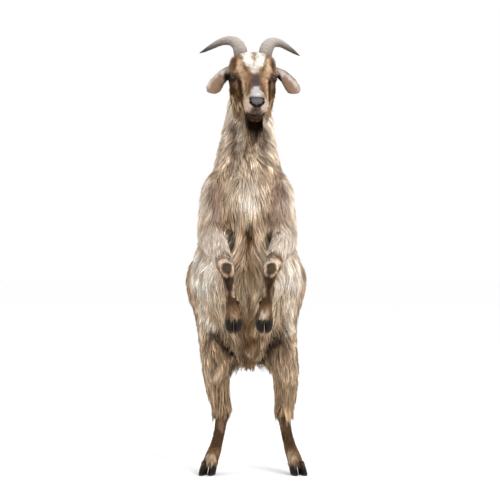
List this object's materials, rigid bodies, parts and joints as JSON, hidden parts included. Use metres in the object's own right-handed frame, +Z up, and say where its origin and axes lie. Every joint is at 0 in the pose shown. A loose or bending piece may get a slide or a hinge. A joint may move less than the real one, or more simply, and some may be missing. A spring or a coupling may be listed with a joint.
{
  "type": "goat",
  "caption": "Life-size model of a long-haired, horned goat standing upright on its hind legs, with its forelegs hanging bent before its chest.",
  "frame": {"origin": "on the floor, under the middle of the box round the whole goat", "axes": "+Z up, the goat faces -Y, its left side is towards +X"},
  "size_m": [0.3871, 0.6549, 1.3341],
  "materials": {
    "coat": "long wavy cream and brown hair over skin",
    "horn": "grey-brown ringed horn, half matt",
    "claw": "black to grey horn, half matt",
    "eye": "wet amber iris with a level dark pupil"
  },
  "bodies": {
    "root": {"head": "coat", "neck": "coat", "chest": "coat", "abdomen": "coat", "rump": "coat", "tail": "coat", "beard": "coat", "horn_right": "horn", "ear_right": "coat", "eye_right": "eye", "horn_left": "horn", "ear_left": "coat", "eye_left": "eye", "hind_right_thigh": "coat", "hind_right_gaskin": "coat", "hind_right_cannon": "coat", "hind_right_pastern": "coat", "hind_right_inner_claw": "claw", "hind_right_inner_dewclaw": "claw", "hind_right_outer_claw": "claw", "hind_right_outer_dewclaw": "claw", "fore_right_upper_arm": "coat", "fore_right_forearm": "coat", "fore_right_cannon": "coat", "fore_right_pastern": "coat", "fore_right_inner_claw": "claw", "fore_right_inner_dewclaw": "claw", "fore_right_outer_claw": "claw", "fore_right_outer_dewclaw": "claw", "hind_left_thigh": "coat", "hind_left_gaskin": "coat", "hind_left_cannon": "coat", "hind_left_pastern": "coat", "hind_left_inner_claw": "claw", "hind_left_inner_dewclaw": "claw", "hind_left_outer_claw": "claw", "hind_left_outer_dewclaw": "claw", "fore_left_upper_arm": "coat", "fore_left_forearm": "coat", "fore_left_cannon": "coat", "fore_left_pastern": "coat", "fore_left_inner_claw": "claw", "fore_left_inner_dewclaw": "claw", "fore_left_outer_claw": "claw", "fore_left_outer_dewclaw": "claw"}
  },
  "joints": []
}
